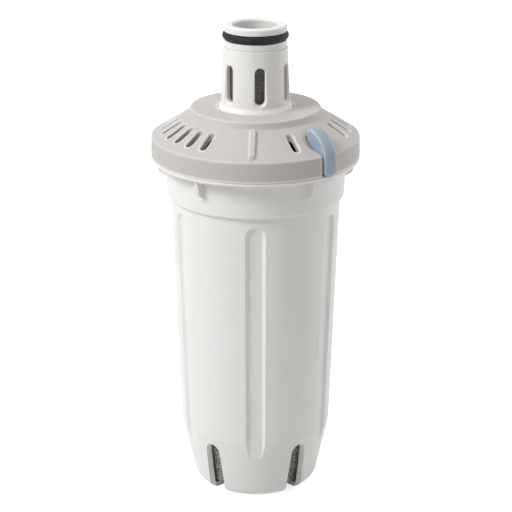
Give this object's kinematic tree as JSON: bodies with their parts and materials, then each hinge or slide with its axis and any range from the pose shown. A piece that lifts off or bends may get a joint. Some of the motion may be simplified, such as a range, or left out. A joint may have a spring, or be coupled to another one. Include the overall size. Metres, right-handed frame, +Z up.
{
  "type": "water pitcher filter cartridge",
  "caption": "Fluted tapered cartridge with a slotted lift-off cap, a sprung side latch, a slotted neck with a sealing ring, and outlet notches over carbon felt at its foot.",
  "frame": {"origin": "centre of the base, on the plane it stands on", "axes": "+Z up along the cartridge's axis, front (the cap's pointer rib) towards -Y, latch at 43 degrees from the front towards +X"},
  "size_m": [0.06, 0.06, 0.1395],
  "materials": {
    "white_plastic": "satin moulded polypropylene",
    "grey_plastic": "matt moulded, warm grey",
    "blue_grey_plastic": "satin moulded",
    "steel": "drawn stainless wire",
    "black_rubber": "satin moulded",
    "carbon_felt": "mottled carbon fibre felt",
    "black_plastic": "matt moulded",
    "black_mesh": "fine woven mesh",
    "white_felt": "needled polyester felt",
    "carbon_granules": "packed granules",
    "resin_beads": "packed beads"
  },
  "bodies": {
    "cartridge": {"body_shell": "white_plastic", "inner_lid": "white_plastic", "o_ring": "black_rubber", "neck_felt": "carbon_felt", "felt_retainer": "white_plastic", "strainer_frame": "black_plastic", "strainer_mesh": "black_mesh", "spreader_plate": "white_plastic", "top_felt": "white_felt", "carbon_bed": "carbon_granules", "separator_felt": "white_felt", "resin_bed": "resin_beads", "grid_felt": "white_felt", "support_grid": "white_plastic", "outlet_cup": "carbon_felt", "outlet_ring": "white_plastic"},
    "cap": {"cap": "grey_plastic", "latch_pin": "steel", "latch_spring": "steel"},
    "latch": {"latch_lever": "blue_grey_plastic"}
  },
  "joints": [
    {"name": "cap_lift", "type": "slide", "parent": "cartridge", "child": "cap", "axis": [0, 0, 1], "range_m": [0, 0.045]},
    {"name": "latch_pivot", "type": "hinge", "parent": "cap", "child": "latch", "pos_m": [0.01841, -0.01975, 0.1066], "axis": [-0.7314, -0.682, 0], "range_deg": [0, 5], "stiffness_Nm_per_rad": 0.03, "springref_deg": -11.46, "deforming": ["latch_spring"]}
  ]
}
